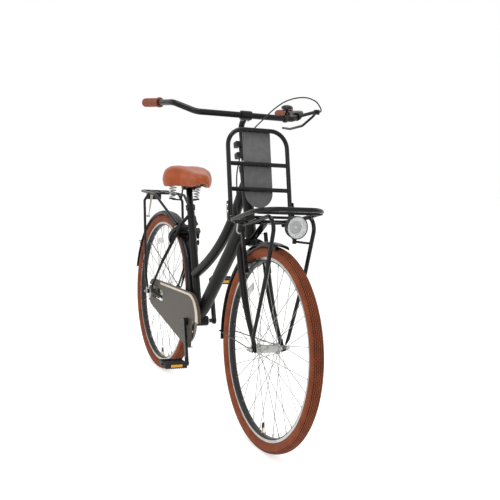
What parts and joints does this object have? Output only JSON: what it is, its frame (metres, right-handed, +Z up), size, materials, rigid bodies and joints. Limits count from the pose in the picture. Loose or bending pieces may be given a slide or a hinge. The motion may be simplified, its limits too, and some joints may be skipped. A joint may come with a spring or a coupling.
{
  "type": "city bicycle",
  "caption": "Black upright city bicycle with a curved low frame, front carrier with back rest, rear carrier, chain case, sprung saddle and brown tyres.",
  "frame": {"origin": "on the ground, halfway between the two axles and in the plane of the wheels", "axes": "+X to the front of the bicycle, +Y to the rider's left, +Z up"},
  "size_m": [1.812, 0.6012, 1.2373],
  "materials": {
    "frame_paint": "satin",
    "fender_paint": "gloss",
    "black_plastic": "matte",
    "case_plastic": "gloss",
    "case_trim": "satin",
    "tyre_rubber": "matte",
    "saddle_cover": "satin",
    "grip_cover": "satin",
    "rim_metal": "satin",
    "wheel_metal": "polished",
    "bright_parts": "polished",
    "dark_metal": "satin",
    "key_metal": "satin",
    "plate_plastic": "matte",
    "reflectors": "gloss",
    "rear_lens": "gloss",
    "lamp_glass": "gloss"
  },
  "bodies": {
    "main_frame": {"frame": "frame_paint", "bottom_bracket": "wheel_metal", "seat_clamp": "frame_paint", "rear_axle": "wheel_metal", "chain": "wheel_metal", "chain_case": "case_plastic", "chain_case_trim": "case_trim", "rear_fender": "fender_paint", "rear_fender_stay": "frame_paint", "rear_carrier": "frame_paint", "rear_light": "rear_lens", "carrier_strap": "black_plastic", "ring_lock": "black_plastic"},
    "steering": {"fork": "frame_paint", "headset_nut": "wheel_metal", "stem": "frame_paint", "stem_clip": "black_plastic", "handlebar": "frame_paint", "grip_left": "grip_cover", "grip_right": "grip_cover", "brake_lever_bracket": "black_plastic", "bell": "dark_metal", "brake_cable": "black_plastic", "brake_guide": "frame_paint", "front_fender": "fender_paint", "front_fender_stay": "frame_paint", "front_axle": "wheel_metal", "front_carrier": "frame_paint", "back_rest": "frame_paint", "name_plate": "plate_plastic", "lamp_housing": "black_plastic", "lamp_lens": "lamp_glass"},
    "rear_wheel": {"rear_tyre": "tyre_rubber", "rear_rim": "rim_metal", "rear_hub": "wheel_metal", "rear_valve": "wheel_metal", "rear_wheel_reflector": "reflectors"},
    "front_wheel": {"front_tyre": "tyre_rubber", "front_rim": "rim_metal", "front_hub": "wheel_metal", "front_valve": "wheel_metal", "front_wheel_reflector": "reflectors"},
    "sprocket": {"rear_sprocket": "wheel_metal"},
    "crank": {"chainring": "wheel_metal", "crank_right": "dark_metal", "crank_left": "dark_metal"},
    "pedal_right": {"pedal_right": "black_plastic"},
    "pedal_left": {"pedal_left": "black_plastic"},
    "brake_lever": {"brake_lever": "dark_metal"},
    "bell_lever": {"bell_lever": "dark_metal"},
    "brake_arm_right": {"brake_arm_right": "dark_metal"},
    "brake_arm_left": {"brake_arm_left": "dark_metal"},
    "lock_bolt": {"lock_bolt": "bright_parts"},
    "lock_key": {"lock_key": "key_metal"},
    "seat": {"seat_post": "frame_paint", "saddle": "saddle_cover", "saddle_base": "black_plastic", "saddle_frame": "frame_paint", "saddle_spring_right": "bright_parts", "saddle_spring_left": "bright_parts"}
  },
  "joints": [
    {"name": "steering_turn", "type": "hinge", "parent": "main_frame", "child": "steering", "pos_m": [0.49415, 0, 0.33593], "axis": [-0.3584, 0, 0.9336], "range_deg": [-55, 55]},
    {"name": "front_wheel_spin", "type": "hinge", "parent": "steering", "child": "front_wheel", "pos_m": [0.5455, 0, 0.35564], "axis": [0, 1, 0], "continuous": true},
    {"name": "rear_wheel_spin", "type": "hinge", "parent": "main_frame", "child": "rear_wheel", "pos_m": [-0.5455, 0, 0.35564], "axis": [0, 1, 0], "continuous": true},
    {"name": "crank_spin", "type": "hinge", "parent": "main_frame", "child": "crank", "pos_m": [-0.1005, 0, 0.312], "axis": [0, 1, 0], "continuous": true},
    {"name": "sprocket_spin", "type": "hinge", "parent": "main_frame", "child": "sprocket", "pos_m": [-0.5455, 0, 0.35564], "axis": [0, 1, 0], "continuous": true},
    {"name": "pedal_right_spin", "type": "hinge", "parent": "crank", "child": "pedal_right", "pos_m": [-0.04236, -0.124, 0.15225], "axis": [0, 1, 0], "continuous": true},
    {"name": "pedal_left_spin", "type": "hinge", "parent": "crank", "child": "pedal_left", "pos_m": [-0.15864, 0.124, 0.47175], "axis": [0, 1, 0], "continuous": true},
    {"name": "brake_lever_pull", "type": "hinge", "parent": "steering", "child": "brake_lever", "pos_m": [0.2445, 0.284, 1.186], "axis": [0.0931, 0.9957, 0], "range_deg": [0, 6.5], "stiffness_Nm_per_rad": 2},
    {"name": "brake_arm_right_swing", "type": "hinge", "parent": "steering", "child": "brake_arm_right", "pos_m": [0.41789, -0.044, 0.60658], "axis": [-0.9336, 0, -0.3584], "range_deg": [0, 1.7]},
    {"name": "brake_arm_left_swing", "type": "hinge", "parent": "steering", "child": "brake_arm_left", "pos_m": [0.41789, 0.044, 0.60658], "axis": [0.9336, 0, 0.3584], "range_deg": [0, 1.7]},
    {"name": "bell_lever_flick", "type": "hinge", "parent": "steering", "child": "bell_lever", "pos_m": [0.2225, 0.172, 1.187], "axis": [0, 0, 1], "range_deg": [0, 25], "stiffness_Nm_per_rad": 0.05},
    {"name": "lock_bolt_close", "type": "hinge", "parent": "main_frame", "child": "lock_bolt", "pos_m": [-0.35873, 0, 0.63254], "axis": [0.829, 0, -0.5592], "range_deg": [0, 92]},
    {"name": "lock_key_turn", "type": "hinge", "parent": "main_frame", "child": "lock_key", "pos_m": [-0.33341, 0.06, 0.64682], "axis": [0.829, 0, -0.5592], "range_deg": [0, 90]},
    {"name": "seat_post_slide", "type": "slide", "parent": "main_frame", "child": "seat", "axis": [-0.3584, 0, 0.9336], "range_m": [0, 0.09]}
  ],
  "couplings": [
    {"joint": "sprocket_spin", "follows": "crank_spin", "ratio": 2.1111},
    {"joint": "brake_arm_right_swing", "follows": "brake_lever_pull", "ratio": 0.26154},
    {"joint": "brake_arm_left_swing", "follows": "brake_lever_pull", "ratio": 0.26154}
  ]
}
